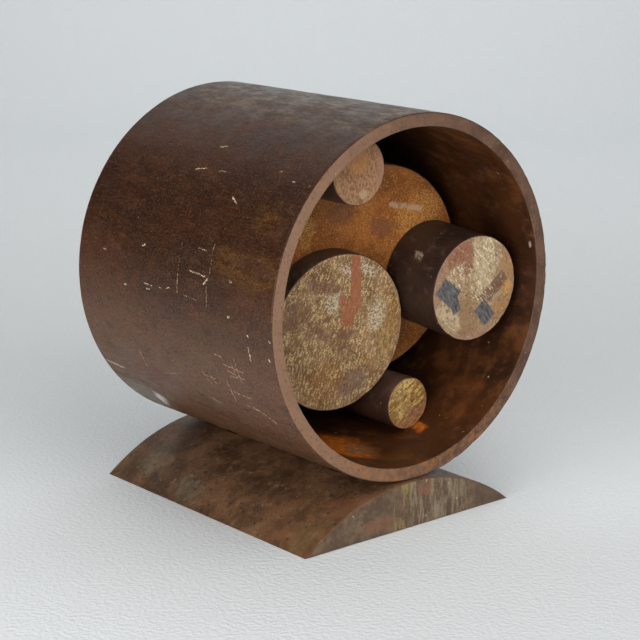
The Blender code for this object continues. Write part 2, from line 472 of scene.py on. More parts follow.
# marks on the pipe's outside: start and end, each a depth in millimetres and degrees round from
# the left, and half width in millimetres
SCRAPES = (
    ((80, 41.5), (73, 42.3), 0.44),
    ((64, 42.3), (59, 42.6), 0.36),
    ((75, 51), (70.5, 51.5), 0.56),
    ((59, 10.2), (47.5, 9.8), 0.44),
    ((48, 7.6), (46, 9.2), 0.72),
    ((56, 17.6), (50, 17.4), 0.32),
    ((92, 2.6), (86, 2.4), 0.36),
    ((81, 2.5), (79, 2.5), 0.32),
    ((76, 2.7), (73, 3.3), 0.32),
    ((62, 2.4), (52, 2.0), 0.24),
    ((108, 0.3), (106.5, 0.3), 0.64),
    ((90, 1.0), (88, 1.0), 0.48),
    ((96, 14), (94.5, 14.3), 0.72),
    ((126, 9.8), (124, 9.8), 0.48),
    ((14.5, 44), (13, 43.6), 0.56),
    ((26, 46.3), (25, 46.5), 0.4),
    ((30, 10.5), (29, 10.3), 0.64),
    ((30, -0.4), (29.3, 0), 0.56),
    ((17, -4), (16.3, -4.5), 0.56),
    ((17, -8), (16.5, -12), 0.48),
    ((2.5, -4), (1.5, -4.2), 0.48),
    ((3.5, -9.6), (2.8, -10.4), 0.64),
    ((45.5, 35), (41, 33.2), 0.56),
    ((142, -33), (131, -34), 0.72),
)
SCRATCHES = (
    ((45.5, 20), (44.6, 9), 0.18),
    ((68, 20), (67.2, 9), 0.12),
    ((67.4, 8.5), (67, 2.5), 0.28),
    ((46, 7), (45, 0.5), 0.2),
    ((44, -13.5), (38, -14.2), 0.3),
    ((38, -16.5), (24, -17.2), 0.35),
    ((36, -18.4), (27, -19), 0.35),
    ((32, -15), (30, -20), 0.3),
    ((29, -13), (27.5, -21), 0.3),
    ((35, -20), (25, -19.4), 0.3),
    ((37, -26.2), (25, -26.7), 0.4),
    ((39.4, -22.5), (38.9, -30), 0.4),
    ((57, -22), (53, -26), 0.3),
    ((52, -22), (49, -25), 0.3),
    ((56, -23), (48, -23.4), 0.3),
    ((106, -22), (104.5, -29), 0.35),
    ((92, -29), (76, -26), 0.25),
    ((27, -30), (21, -32), 0.5),
    ((21, -32), (15, -34.6), 0.5),
    ((32, -30.5), (20, -31.5), 0.3),
)
SMEARS = (((62, -32.8), (54, -34.2), 0.9), ((145, -33), (130, -34), 0.8))


def pipe_outside():
    s = Surface("pipe_outside")
    x, y, z = s.split(s.point)
    angle = s.math("ARCTAN2", y, s.both(x, -1))
    degrees = s.both(angle, 180 / pi)
    plane = s.join(s.both(z, -1), s.both(angle, OUTSIDE))
    mottle, _ = mottled_steel(
        s, srgb(44, 21, 8), srgb(66, 35, 15), srgb(84, 50, 28), 8, 1, stretch=(1, 1, 0.5)
    )
    streaks = s.noise(5, 6, 0.75, stretch=(1, 1, 0.25), seed=4)
    hairs = s.noise(1.3, 5, 0.78, stretch=(1, 1, 0.2), seed=5)
    combed = s.noise(1.3, 5, 0.78, point=plane, stretch=(1, 0.2, 1), seed=6)
    red = s.ease(s.off(degrees, 30), 27, 8)
    s.lay(s.both(red, s.ease(streaks, 0.35, 0.6)), srgb(42, 19, 8))
    # lighter towards the bottom: partly a painted reflection of the floor, partly mauve-brown
    # mottling
    lower_tone_and_reflection = s.ease(y, 11.7, -36.9)
    s.coat(lower_tone_and_reflection, 0.8, srgb(92, 62, 42))
    s.lay(s.both(lower_tone_and_reflection, s.ease(mottle, 0.46, 0.3, 0, 0.55)), srgb(66, 40, 24))
    gold = patches(
        s, s.warp(plane, 14, 8), ((around(20, 15), (24, 9), 0), (around(16, 31), (10, 8), 0))
    )
    gold = s.both(gold, s.ease(streaks, 0.42, 0.6))
    s.coat(gold, 0.75, srgb(80, 50, 16))
    golden_grain = s.both(gold, s.lumps(1.1, 3, 0.7, 6, 0.58, 0.66))
    s.coat(golden_grain, 0.6, srgb(124, 92, 42))
    rust = s.both(s.lumps(16, 5, 0.65, 8, 0.54, 0.68), s.ease(streaks, 0.4, 0.55))
    s.coat(rust, 0.35, srgb(72, 37, 16))
    # pale grey patches on the top: dust, and a painted sheen where the backdrop is reflected
    dust_and_sheen = s.ease(s.noise(7, 7, 0.78, stretch=(1, 1, 0.6), seed=9), 0.44, 0.64)
    from_top = s.off(degrees, 90)
    dust_and_sheen = s.both(dust_and_sheen, s.ease(from_top, 32, 6))
    s.coat(dust_and_sheen, 0.75, srgb(140, 126, 104))
    soot = s.ease(s.noise(6, 7, 0.75, stretch=(1, 1, 0.5), seed=11), 0.53, 0.66)
    s.coat(soot, 0.5, srgb(28, 15, 8))
    s.lay(s.ease(hairs, 0.54, 0.72, 0, 0.24), srgb(112, 80, 54))
    combed = s.both(combed, s.ease(s.math("ABSOLUTE", degrees), 176, 150))
    s.lay(s.ease(combed, 0.54, 0.72, 0, 0.24), srgb(112, 80, 54))
    grit = s.noise(0.8, 4, 0.8, seed=14)
    s.lay(s.ease(grit, 0.52, 0.34, 0, 0.7), srgb(24, 12, 5))
    s.lay(s.ease(grit, 0.52, 0.68, 0, 0.34), srgb(128, 96, 70))
    pits = specks(s, 3.2, 0.3, 0.62)
    s.coat(pits, 0.35, srgb(28, 15, 8))
    fine = s.lumps(0.7, 4, 0.75, 13, 0.46, 0.53)
    flecks = s.either(specks(s, 6, 0.05, 0.6), specks(s, 2.2, 0.08, 0.9))
    flecks = s.both(flecks, s.ease(s.noise(26, 2, seed=3), 0.46, 0.56))
    s.coat(flecks, 0.8, srgb(176, 150, 122))
    scratches = marks(s, s.warp(plane, 3, 0.6), on_pipe(SCRATCHES), fine)
    s.coat(scratches, 0.8, srgb(182, 152, 124))
    smears = marks(s, s.warp(plane, 3, 1.2), on_pipe(SMEARS), s.ease(mottle, 0.4, 0.5))
    s.coat(smears, 0.6, srgb(128, 130, 112))
    paint = patches(s, s.warp(plane, 8, 6), ((around(119, -48), (4.0, 6.5), 20),))
    paint = s.both(paint, s.ease(combed, 0.34, 0.5))
    haze = patches(s, s.warp(plane, 14, 14), ((around(132, -47), (17, 10), 5),))
    haze = s.both(haze, s.ease(mottle, 0.36, 0.56))
    s.coat(haze, 0.6, srgb(104, 104, 90))
    s.coat(paint, 0.9, srgb(190, 192, 180))
    groove = marks(s, s.warp(plane, 12, 1), on_pipe((((78, -39.5), (20, -47), 0.8),)))
    s.coat(groove, 0.6, srgb(26, 16, 11))
    scrapes = marks(s, s.warp(plane, 1.3, 0.8), on_pipe(SCRAPES), fine)
    s.coat(scrapes, 0.95, srgb(206, 186, 158))
    rough = s.ease(mottle, 0.35, 0.7, 0.34, 0.5)
    rough = s.math("ADD", rough, s.ease(hairs, 0.4, 0.65, -0.05, 0.1))
    rough = s.add(rough, s.either(scrapes, scratches), 0.2)
    height = s.add(s.both(mottle, 1.5), grit, 0.35)
    height = s.add(height, hairs, 0.4)
    height = s.cut(height, s.either(pits, groove), 0.35)
    height = s.add(height, s.either(scrapes, paint), 0.25)
    return s.finish(rough, 0.0, height, 0.22)


def pipe_rim():
    s = Surface("pipe_rim")
    x, y, _ = s.split(s.point)
    radius = s.vector("LENGTH", s.join(x, y))
    mottle, _ = mottled_steel(s, srgb(82, 58, 44), srgb(108, 80, 64), srgb(130, 100, 80), 2.2, 20)
    # lighter towards the left: painted light from the softbox on that side
    left = s.ease(x, 30, -60)
    s.coat(left, 0.6, srgb(150, 116, 92))
    ragged = s.noise(2, 5, 0.7, seed=21)
    # lighter ragged band along the outer edge: worn metal and a painted highlight
    outer_wear_and_highlight = s.ease(s.add(radius, ragged, 1.1), 84.1, 84.6)
    s.coat(outer_wear_and_highlight, 0.7, srgb(172, 142, 116))
    inner = s.ease(s.add(radius, ragged, 0.8), 78.5, 78.1)
    s.coat(inner, 0.6, srgb(58, 38, 26))
    bottom = s.both(s.ease(y, -40, -76), s.lumps(4, 5, 0.75, 22, 0.46, 0.6))
    s.coat(bottom, 0.6, srgb(160, 104, 56))
    dark = s.lumps(1.8, 5, 0.75, 23, 0.54, 0.66)
    s.coat(dark, 0.45, srgb(62, 42, 32))
    chips = s.either(specks(s, 4, 0.1, 0.7), specks(s, 1.8, 0.12, 0.85))
    s.coat(chips, 0.6, srgb(190, 164, 134))
    height = s.cut(mottle, dark, 0.5)
    return s.finish(s.ease(mottle, 0.35, 0.65, 0.5, 0.66), 0.0, height, 0.14)


def pipe_inside():
    s = Surface("pipe_inside")
    x, y, z = s.split(s.point)
    angle = s.math("ARCTAN2", x, s.both(y, -1))
    plane = s.join(s.both(angle, BORE), s.both(z, -1))
    mottle, grain = mottled_steel(s, srgb(46, 24, 10), srgb(76, 42, 18), srgb(100, 60, 32), 9, 30)

    def spot(degrees, depth, wide, deep, turn=0):
        return (radians(degrees) * BORE, depth), (wide, deep), turn

    loose = s.warp(plane, 12, 9)
    stain = patches(s, loose, (spot(-9, 44, 15, 22), spot(-14, 54, 10, 10), spot(22, 30, 4, 6)))
    stain = s.both(stain, s.lumps(5, 6, 0.7, 31, 0.16, 0.44))
    s.coat(stain, 0.85, srgb(186, 96, 26))
    hot = s.both(stain, s.lumps(2.5, 4, 0.7, 35, 0.5, 0.62))
    s.coat(hot, 0.7, srgb(216, 130, 48))
    grey = patches(s, s.warp(plane, 8, 5), (spot(-4, 33, 7, 7),))
    grey = s.both(grey, s.lumps(5, 4, 0.7, 32, 0.4, 0.55))
    s.coat(grey, 0.8, srgb(92, 96, 78))
    glow = s.lumps(20, 5, 0.6, 33, 0.5, 0.7)
    s.coat(glow, 0.6, srgb(110, 64, 30))
    flake = patches(s, s.warp(plane, 3, 1.4), (spot(101, 4, 1.4, 0.9),))
    chips = s.either(specks(s, 5, 0.1, 0.75), flake)
    s.coat(chips, 0.7, srgb(176, 158, 136))
    height = s.add(mottle, grain, 0.3)
    return s.finish(s.ease(mottle, 0.3, 0.7, 0.42, 0.6), 0.0, height, 0.2)


# ---- the slugs' faces


def saw_grain(s, turn, size=1.1, seed=0.0):
    """Fine grain drawn out in one direction across a face, turn degrees from its x."""
    node = s.tree.nodes.new("ShaderNodeMapping")
    s.plug(node.inputs["Vector"], s.point)
    node.inputs["Rotation"].default_value = (0, 0, radians(-turn))
    return s.noise(size, 4, 0.7, point=node.outputs[0], stretch=(0.28, 1, 1), seed=seed)


def left_disc_face():
    s = Surface("left_disc_face")
    grain = saw_grain(s, 74, 1.0, 40)
    fine = s.noise(0.9, 2, 0.7, seed=41)
    clouds = s.noise(13, 6, 0.7, seed=42)
    mottle = s.noise(4.5, 6, 0.75, seed=43)
    s.base = s.mix(s.ease(clouds, 0.38, 0.62), srgb(120, 86, 56), srgb(158, 124, 90))
    s.lay(s.ease(mottle, 0.48, 0.64, 0, 0.8), srgb(116, 82, 54))
    loose = s.warp(s.point, 7, 6)
    mauve = patches(
        s,
        loose,
        (
            ((-25, 12), (9, 6.5), 15),
            ((-13, 3), (8, 3), -35),
            ((-10, 24), (11, 2.6), -12),
            ((5, -1.5), (4, 2.4), 0),
            ((5, -8), (6, 1.6), 0),
            ((9, -25), (10, 6), 10),
        ),
    )
    mauve = s.both(mauve, s.lumps(3, 6, 0.75, 44, 0.34, 0.5))
    s.coat(mauve, 0.85, srgb(116, 80, 64))
    ash = s.both(patches(s, loose, (((10, -27), (9, 6), 10),)), s.ease(clouds, 0.3, 0.5))
    s.coat(ash, 0.8, srgb(128, 102, 86))
    ochre = patches(
        s, loose, (((-8, -24), (12, 9), 20), ((18, -14), (4, 3), 0), ((33, 4), (3, 12), 0))
    )
    s.coat(ochre, 0.6, srgb(142, 92, 44))
    speckle = s.both(s.ease(grain, 0.47, 0.54), s.ease(fine, 0.44, 0.53))
    speckle = s.both(speckle, s.ease(mauve, 1, 0, 0.25, 1))
    speckle = s.both(speckle, s.lumps(9, 5, 0.7, 48, 0.36, 0.54, 0.35, 1))
    s.coat(speckle, 0.85, srgb(222, 196, 142))
    gold = patches(s, loose, (((29, -2), (6, 16), 0), ((-22, 14), (3, 3), 0)))
    gold = s.both(gold, s.ease(grain, 0.4, 0.55))
    s.coat(gold, 0.5, srgb(170, 136, 70))
    pale = patches(
        s,
        loose,
        (
            ((-4, 15), (4, 5), 0),
            ((16, 29), (6, 3), -30),
            ((3, 29), (3, 4), 0),
            ((22, 5), (5, 7), 0),
        ),
    )
    pale = s.both(pale, s.ease(fine, 0.42, 0.56))
    s.coat(pale, 0.8, srgb(206, 194, 172))
    shape = s.warp(s.warp(s.point, 5, 1.6, 2), 1.2, 0.6, 3)
    lobe = patches(s, shape, (((5.6, 8.5), (4.2, 6.5), -10), ((2, 15), (2.6, 3), 0)))
    stripe = s.either(lobe, s.slab(shape, (9, 27), (2.9, 17), 2))
    stripe = s.both(stripe, s.lumps(1.4, 5, 0.75, 45, 0.3, 0.42, 0.3, 1))
    s.coat(stripe, 0.85, srgb(156, 92, 62))
    dark = s.both(s.lumps(1.7, 6, 0.78, 46, 0.55, 0.63), s.ease(stripe, 1, 0))
    s.coat(dark, 0.7, srgb(82, 56, 36))
    return finish_face(s, radius_of("left_disc", LEAN), speckle, mottle, srgb(182, 142, 118))


def right_slug_face():
    s = Surface("right_slug_face")
    scratch = saw_grain(s, -52, 1.1, 50)
    fine = s.noise(0.9, 2, 0.7, seed=51)
    mottle = s.noise(4, 6, 0.78, seed=52)
    s.base = s.mix(s.ease(mottle, 0.35, 0.62), srgb(172, 146, 112), srgb(146, 116, 88))
    loose = s.warp(s.point, 5, 3)
    shape = s.warp(s.point, 5, 0.9, 2)
    pink = patches(s, loose, (((-23, 4), (5, 16), 0), ((-3, -24), (14, 4), 0)))
    s.coat(pink, 0.7, srgb(152, 114, 94))
    cream = slabs(
        s, shape, (((5, 14), (6.5, 10), 10), ((6, 2), (4.5, 10), 32), ((-15, -12), (9, 3.6), -42))
    )
    s.coat(cream, 0.75, srgb(188, 170, 136))
    islands = s.both(cream, s.lumps(2.4, 5, 0.78, 54, 0.54, 0.6))
    s.coat(islands, 0.7, srgb(132, 102, 76))
    wedge = slabs(s, shape, (((-2.5, -13), (5.5, 9), 6), ((-2, -4), (2.6, 3), 0)))
    s.coat(wedge, 0.7, srgb(140, 108, 74))
    red = slabs(s, shape, (((-10.5, 18), (8, 5.5), 18), ((-4.5, 11), (2.4, 4), -10)))
    s.coat(red, 0.85, srgb(140, 90, 70))
    brown = slabs(s, shape, (((12, -1.5), (9, 3.4), 40),))
    s.coat(brown, 0.88, srgb(108, 76, 58))
    tan = patches(s, loose, (((17, -11), (8, 4), 40), ((20, 10), (3, 8), 15)))
    s.lay(s.both(tan, s.ease(fine, 0.4, 0.56, 0.35, 0.8)), srgb(166, 122, 74))
    glow = patches(s, loose, (((20.5, -2), (2.6, 3.4), 0),))
    s.coat(glow, 0.7, srgb(196, 146, 78))
    cuts = s.both(s.ease(scratch, 0.5, 0.56), s.ease(fine, 0.4, 0.52))
    where = patches(s, loose, (((-9, 7), (7, 7), 30), ((7, 15), (9, 10), 0), ((5, -2), (7, 8), 20)))
    cuts = s.both(cuts, s.either(where, s.ease(mottle, 0.5, 0.64, 0, 0.7)))
    s.coat(cuts, 0.85, srgb(232, 218, 188))
    dark = s.both(s.lumps(1.6, 5, 0.8, 55, 0.52, 0.59), s.ease(fine, 0.35, 0.5))
    s.coat(dark, 0.7, srgb(84, 58, 40))
    grey = slabs(
        s,
        shape,
        (
            ((-16.3, -0.2), (6.2, 4.6), -38),
            ((-12.0, -5.5), (5.2, 2.6), -66),
            ((7.4, -12.8), (5.6, 3.9), -48),
        ),
    )
    tone = s.mix(s.ease(scratch, 0.35, 0.65), srgb(50, 50, 54), srgb(100, 103, 110))
    grey = s.both(grey, s.lumps(1.2, 5, 0.8, 58, 0.3, 0.42, 0.5, 1))
    s.coat(grey, 0.92, tone)
    lines = s.both(s.ease(saw_grain(s, -50, 1.6, 57), 0.3, 0.24), where)
    s.coat(lines, 0.6, srgb(84, 58, 44))
    return finish_face(s, radius_of("right_slug", LEAN), cuts, mottle, srgb(182, 142, 120))


def large_disc_face():
    s = Surface("large_disc_face")
    clouds = s.noise(18, 5, 0.62, seed=60)
    fine = s.noise(0.7, 4, 0.78, seed=61)
    mottle = s.noise(3.5, 5, 0.7, seed=62)
    s.base = s.mix(s.ease(clouds, 0.36, 0.62), srgb(128, 72, 30), srgb(160, 96, 42))
    s.lay(s.ease(mottle, 0.5, 0.7, 0, 0.6), srgb(108, 60, 30))
    dense = patches(s, s.warp(s.point, 12, 8), (((26, 22), (16, 12), 20), ((-40, 24), (6, 8), 0)))
    gold = s.ease(s.add(fine, dense, 0.08), 0.53, 0.63)
    s.coat(gold, 0.75, srgb(222, 164, 88))
    purple = patches(s, s.warp(s.point, 6, 4), (((5, 20), (8, 4), 0), ((-20, 30), (8, 5), 0)))
    s.coat(purple, 0.55, srgb(104, 66, 50))
    streak = marks(
        s, s.warp(s.point, 4, 1.2), (((9, 30.5), (28, 26.5), 1.9),), s.ease(mottle, 0.3, 0.46)
    )
    s.coat(streak, 0.5, srgb(206, 182, 150))
    return finish_face(s, radius_of("large_disc", LEAN), gold, mottle, srgb(120, 84, 60), 0.62)


def upper_rod_face():
    s = Surface("upper_rod_face")
    grain = s.noise(0.9, 4, 0.75, stretch=(1, 0.5, 1), seed=70)
    mottle = s.noise(4, 5, 0.7, seed=71)
    s.base = s.mix(s.ease(grain, 0.4, 0.6), srgb(120, 82, 54), srgb(168, 128, 94))
    orange = patches(s, s.warp(s.point, 4, 3), (((0, 4), (6, 5), 0),))
    s.coat(orange, 0.55, srgb(176, 122, 70))
    pink = patches(s, s.warp(s.point, 4, 3), (((13, 0), (3, 13), 0),))
    s.coat(pink, 0.5, srgb(158, 116, 96))
    pale = patches(s, s.warp(s.point, 3, 2), (((3, -10), (3, 1.6), 0),))
    chips = s.either(pale, specks(s, 2.4, 0.16, 0.85))
    s.coat(chips, 0.4, srgb(196, 172, 138))
    return finish_face(s, radius_of("upper_rod", FRONT), grain, mottle, srgb(150, 112, 88))


def lower_rod_face():
    s = Surface("lower_rod_face")
    grain = saw_grain(s, 32, 1.7, 80)
    mottle = s.noise(4, 5, 0.7, seed=81)
    s.base = s.mix(s.ease(mottle, 0.38, 0.6), srgb(158, 118, 62), srgb(132, 94, 54))
    pale = patches(s, s.warp(s.point, 4, 3), (((-6, 7), (5, 5), 0), ((-3, -2), (5, 3), 20)))
    s.coat(pale, 0.5, srgb(184, 156, 108))
    gold = s.ease(grain, 0.48, 0.6)
    s.coat(gold, 0.8, srgb(222, 190, 118))
    pink = patches(
        s,
        s.warp(s.point, 4, 3),
        (((6, -7), (6, 4.5), -35), ((-2, -11), (8, 2.5), 0), ((12, 0), (1.5, 7), 0)),
    )
    s.coat(pink, 0.75, srgb(158, 106, 80))
    dark = s.lumps(1.7, 4, 0.75, 82, 0.52, 0.6)
    s.coat(dark, 0.75, srgb(88, 58, 28))
    return finish_face(s, radius_of("lower_rod", FRONT), gold, mottle, srgb(176, 132, 104))


def finish_face(s, radius, grain, mottle, rim, rough=0.5):
    """The thin worn band round the edge of a face, then the shader."""
    x, y, _ = s.split(s.point)
    out = s.vector("LENGTH", s.join(x, y))
    edge = s.ease(s.math("ADD", out, s.noise(3, 3, seed=47)), radius - 0.5, radius + 0.1)
    s.coat(edge, 0.6, rim)
    height = s.add(s.both(mottle, 0.8), grain, 0.35)
    return s.finish(s.ease(mottle, 0.3, 0.7, rough - 0.06, rough + 0.14), 0.0, height, 0.1)


def slug_side(name, dark, middle, pale, seed, flake=None):
    """The round side of a slug. flake is where a pale chip lies: its depth, its degrees round and
    the slug's radius."""
    s = Surface(name)
    mottle, _ = mottled_steel(s, dark, middle, pale, 5, seed)
    x, y, z = s.split(s.point)
    rust = s.lumps(12, 5, 0.65, seed + 4, 0.54, 0.66)
    s.coat(rust, 0.35, srgb(78, 46, 28))
    chips = specks(s, 4, 0.12, 0.72)
    if flake:
        depth, degrees, radius = flake
        angle = s.math("ARCTAN2", y, s.both(x, -1))
        plane = s.join(s.both(z, -1), s.both(angle, radius))
        centre = (depth, radians(degrees) * radius)
        spot = patches(s, s.warp(plane, 3, 2.2), ((centre, (3.2, 1.8), 20),))
        chips = s.either(chips, s.both(spot, s.lumps(1.2, 3, 0.7, seed, 0.42, 0.5)))
    s.coat(chips, 0.6, srgb(178, 160, 138))
    return s.finish(s.ease(mottle, 0.3, 0.7, 0.4, 0.58), 0.0, mottle, 0.16)


def machined(name, dark, pale, seed):
    """The flat rear faces and pockets, turned on a lathe: fine rings about the axis."""
    s = Surface(name)
    x, y, _ = s.split(s.point)
    radius = s.vector("LENGTH", s.join(x, y))
    wobble = s.noise(6, 3, seed=seed)
    ring = s.math("SINE", s.add(s.both(radius, 9), wobble, 3))
    mottle = s.noise(5, 5, 0.7, seed=seed + 1)
    s.base = s.mix(s.ease(mottle, 0.35, 0.65), dark, pale)
    s.lay(s.ease(ring, 0.5, 1, 0, 0.25), dark)
    height = s.math("ADD", s.both(ring, 0.15), mottle)
    return s.finish(s.ease(mottle, 0.3, 0.7, 0.4, 0.6), 0.3, height, 0.08)


def base_steel():
    s = Surface("base_steel")
    y = s.split(s.point)[1]
    mottle, _ = mottled_steel(s, srgb(66, 45, 29), srgb(106, 76, 53), srgb(130, 100, 74), 4, 90)
    ripple = s.noise(7, 6, 0.68, stretch=(0.6, 1, 1), seed=93)
    s.lay(s.ease(ripple, 0.55, 0.62, 0, 0.55), srgb(56, 40, 28))
    grit = s.noise(0.8, 4, 0.8, seed=95)
    s.lay(s.ease(grit, 0.5, 0.34, 0, 0.5), srgb(30, 20, 12))
    s.lay(s.ease(grit, 0.54, 0.68, 0, 0.3), srgb(146, 118, 90))
    red = s.both(s.ease(y, -30, -66), s.lumps(14, 5, 0.65, 94, 0.42, 0.6))
    s.coat(red, 0.42, srgb(118, 76, 52))
    front = s.ease(y, 0, -66)
    s.coat(front, 0.1, srgb(128, 92, 66))
    loose = s.warp(s.point, 10, 7)
    haze = patches(s, loose, (((-48, 54), (9, 9), 0), ((-56, 20), (6, 12), 0)))
    haze = s.both(haze, s.ease(mottle, 0.36, 0.6))
    s.coat(haze, 0.5, srgb(104, 100, 82))
    olive = patches(s, loose, (((-56, -66), (7, 9), 0),))
    s.coat(olive, 0.4, srgb(96, 80, 46))
    chips = s.either(specks(s, 7, 0.08, 0.7), specks(s, 3, 0.1, 0.9))
    s.coat(chips, 0.8, srgb(178, 164, 140))
    pits = specks(s, 3.4, 0.3, 0.6)
    s.coat(pits, 0.6, srgb(44, 32, 24))
    height = s.add(s.both(ripple, 2.0), mottle, 1.2)
    height = s.add(height, grit, 0.3)
    height = s.cut(height, pits, 0.4)
    return s.finish(s.ease(mottle, 0.3, 0.7, 0.4, 0.58), 0.0, height, 0.26)


def base_end():
    s = Surface("base_end")
    x, _, z = s.split(s.point)
    upright = s.noise(2.6, 5, 0.7, stretch=(1, 1, 0.16), seed=100)
    mottle = s.noise(5, 5, 0.7, seed=101)
    fine = s.noise(0.9, 3, 0.65, seed=102)
    s.base = s.mix(s.ease(mottle, 0.36, 0.64), srgb(86, 68, 52), srgb(114, 94, 75))
    pale = s.ease(s.off(x, 14), 34, 10)
    pale = s.both(s.ease(upright, 0.48, 0.6), pale)
    s.coat(pale, 0.65, srgb(148, 134, 112))
    yellow = s.ease(s.math("ABSOLUTE", s.math("ADD", x, 6)), 9, 3)
    yellow = s.both(s.ease(upright, 0.44, 0.56), yellow)
    s.coat(yellow, 0.7, srgb(142, 122, 74))
    red = patches(s, s.warp(s.join(x, z), 4, 3), (((9, 17), (6, 3), 0), ((-20, 6), (10, 3), 0)))
    s.coat(red, 0.55, srgb(132, 88, 66))
    dark = s.ease(x, 34, 60)
    s.coat(dark, 0.5, srgb(84, 70, 58))
    chips = s.either(specks(s, 5, 0.13, 0.72), s.both(s.ease(fine, 0.62, 0.68), pale))
    s.coat(chips, 0.7, srgb(190, 176, 152))
    pits = s.lumps(2, 4, 0.7, 103, 0.57, 0.66)
    s.coat(pits, 0.5, srgb(64, 50, 40))
    height = s.cut(s.both(upright, 0.8), pits, 0.4)
    return s.finish(s.ease(mottle, 0.3, 0.7, 0.48, 0.66), 0.0, height, 0.12)


def weld_metal():
    s = Surface("weld_metal")
    ridges = s.math("SINE", s.both(s.split(s.point)[1], 5))
    mottle = s.noise(2, 4, 0.7, seed=110)
    s.base = s.mix(s.ease(mottle, 0.35, 0.65), srgb(58, 46, 42), srgb(104, 84, 72))
    s.lay(s.ease(ridges, 0.2, 1, 0, 0.4), srgb(132, 112, 96))
    return s.finish(s.ease(mottle, 0.3, 0.7, 0.3, 0.5), 0.6, mottle, 0.1)


def brass():
    s = Surface("brass")
    x, y, _ = s.split(s.point)
    radius = s.vector("LENGTH", s.join(x, y))
    ring = s.math("SINE", s.both(radius, 22))
    tarnish = s.noise(4, 5, 0.65, seed=120)
    s.base = s.mix(s.ease(tarnish, 0.42, 0.65), srgb(198, 164, 92), srgb(138, 104, 58))
    height = s.math("ADD", s.both(ring, 0.3), tarnish)
    return s.finish(s.ease(tarnish, 0.3, 0.7, 0.22, 0.42), 1.0, height, 0.03)


def nickel():
    s = Surface("nickel")
    scuffs = s.noise(2.5, 6, 0.75, stretch=(1, 0.3, 1), seed=130)
    stain = s.noise(6, 4, 0.6, seed=131)
    s.base = s.mix(s.ease(stain, 0.42, 0.66), srgb(206, 204, 198), srgb(168, 162, 152))
    s.lay(s.ease(scuffs, 0.58, 0.68, 0, 0.5), srgb(122, 114, 104))
    return s.finish(s.ease(scuffs, 0.35, 0.65, 0.14, 0.34), 1.0, scuffs, 0.02)


# ---- stage


def make_camera():
    lens = bpy.data.cameras.new("camera")
    lens.lens = CAMERA_LENS
    lens.clip_start = 0.01
    back = Vector(
        (
            sin(CAMERA_AZIMUTH) * cos(CAMERA_ELEVATION),
            -cos(CAMERA_AZIMUTH) * cos(CAMERA_ELEVATION),
            sin(CAMERA_ELEVATION),
        )
    )
    camera = bpy.data.objects.new("camera", lens)
    bpy.context.scene.collection.objects.link(camera)
    camera.location = CAMERA_TARGET + back * CAMERA_DISTANCE
    camera.rotation_mode = "QUATERNION"
    roll = Quaternion((0, 0, 1), CAMERA_ROLL)
    camera.rotation_quaternion = (-back).to_track_quat("-Z", "Y") @ roll
    bpy.context.scene.camera = camera


def softbox(name, azimuth, elevation, distance, size, power, tint, aim):
    light = bpy.data.lights.new(name, "AREA")
    light.shape = "RECTANGLE"
    light.size, light.size_y = size
    light.energy = power
    light.color = tint
    a, e = radians(azimuth), radians(elevation)
    away = Vector((sin(a) * cos(e), -cos(a) * cos(e), sin(e)))
    box = bpy.data.objects.new(name, light)
    bpy.context.scene.collection.objects.link(box)
    box.location = Vector(aim) + away * distance
    box.rotation_euler = (-away).to_track_quat("-Z", "Y").to_euler()


def make_stage():
    """A pale paper sweep, a dim room and soft lights."""
    outline = [(-SWEEP_SIDE, 0.0), (SWEEP_START, 0.0)]
    for step in range(1, SWEEP_STEPS + 1):
        angle = SWEEP_RISE * step / SWEEP_STEPS
        outline.append((SWEEP_START + SWEEP_BEND * sin(angle), SWEEP_BEND * (1 - cos(angle))))
    along, up = outline[-1]
    outline.append((along + SWEEP_WALL * cos(SWEEP_RISE), up + SWEEP_WALL * sin(SWEEP_RISE)))
    form = bmesh.new()
    rows = [
        [form.verts.new((side, along, up)) for side in (-SWEEP_SIDE, SWEEP_SIDE)]
        for along, up in outline
    ]
    for near, far in zip(rows, rows[1:]):
        form.faces.new((near[0], near[1], far[1], far[0]))
    place = Matrix.Rotation(CAMERA_AZIMUTH, 4, "Z")
    new_piece("floor", form, place, [paper()])
    world = bpy.data.worlds.new("room")
    world.use_nodes = True
    world.node_tree.nodes["Background"].inputs["Color"].default_value = ROOM
    bpy.context.scene.world = world
    for name, azimuth, elevation, distance, size, power, tint, aim in LIGHTS:
        softbox(name, azimuth, elevation, distance, size, power, tint, aim)
    bpy.context.scene.view_settings.view_transform = "Standard"


def paper():
    s = Surface("paper")
    grain = s.noise(2.2, 3, 0.5)
    _, along, _ = s.split(s.point)
    tone = s.noise(0.9, 2, 0.5, seed=1)
    s.base = s.mix(s.ease(tone, 0.3, 0.7), srgb(222, 229, 234), srgb(226, 233, 238))
    # painted shade on the floor behind the object
    painted_shade_behind = s.both(s.ease(along, -30, 150), s.ease(along, 700, 180))
    s.coat(painted_shade_behind, SHADE_BEHIND, srgb(150, 152, 152))
    # painted shadow of the object on the floor in front of it
    near = s.ease(along, 0, -120)
    s.coat(near, SHADOW_IN_FRONT, srgb(120, 120, 120))
    return s.finish(0.8, 0.0, grain, 0.6)


# ---- the object


def claim(piece, body, node):
    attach(piece, body)
    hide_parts(node)


def pocket(magnet, sleeve, outward):
    """Radius and depth of the pocket that a magnet and its sleeve sit in."""
    return face_frame(sleeve, outward)[1] + GAP, face_frame(magnet, outward)[2] + 2 * GAP


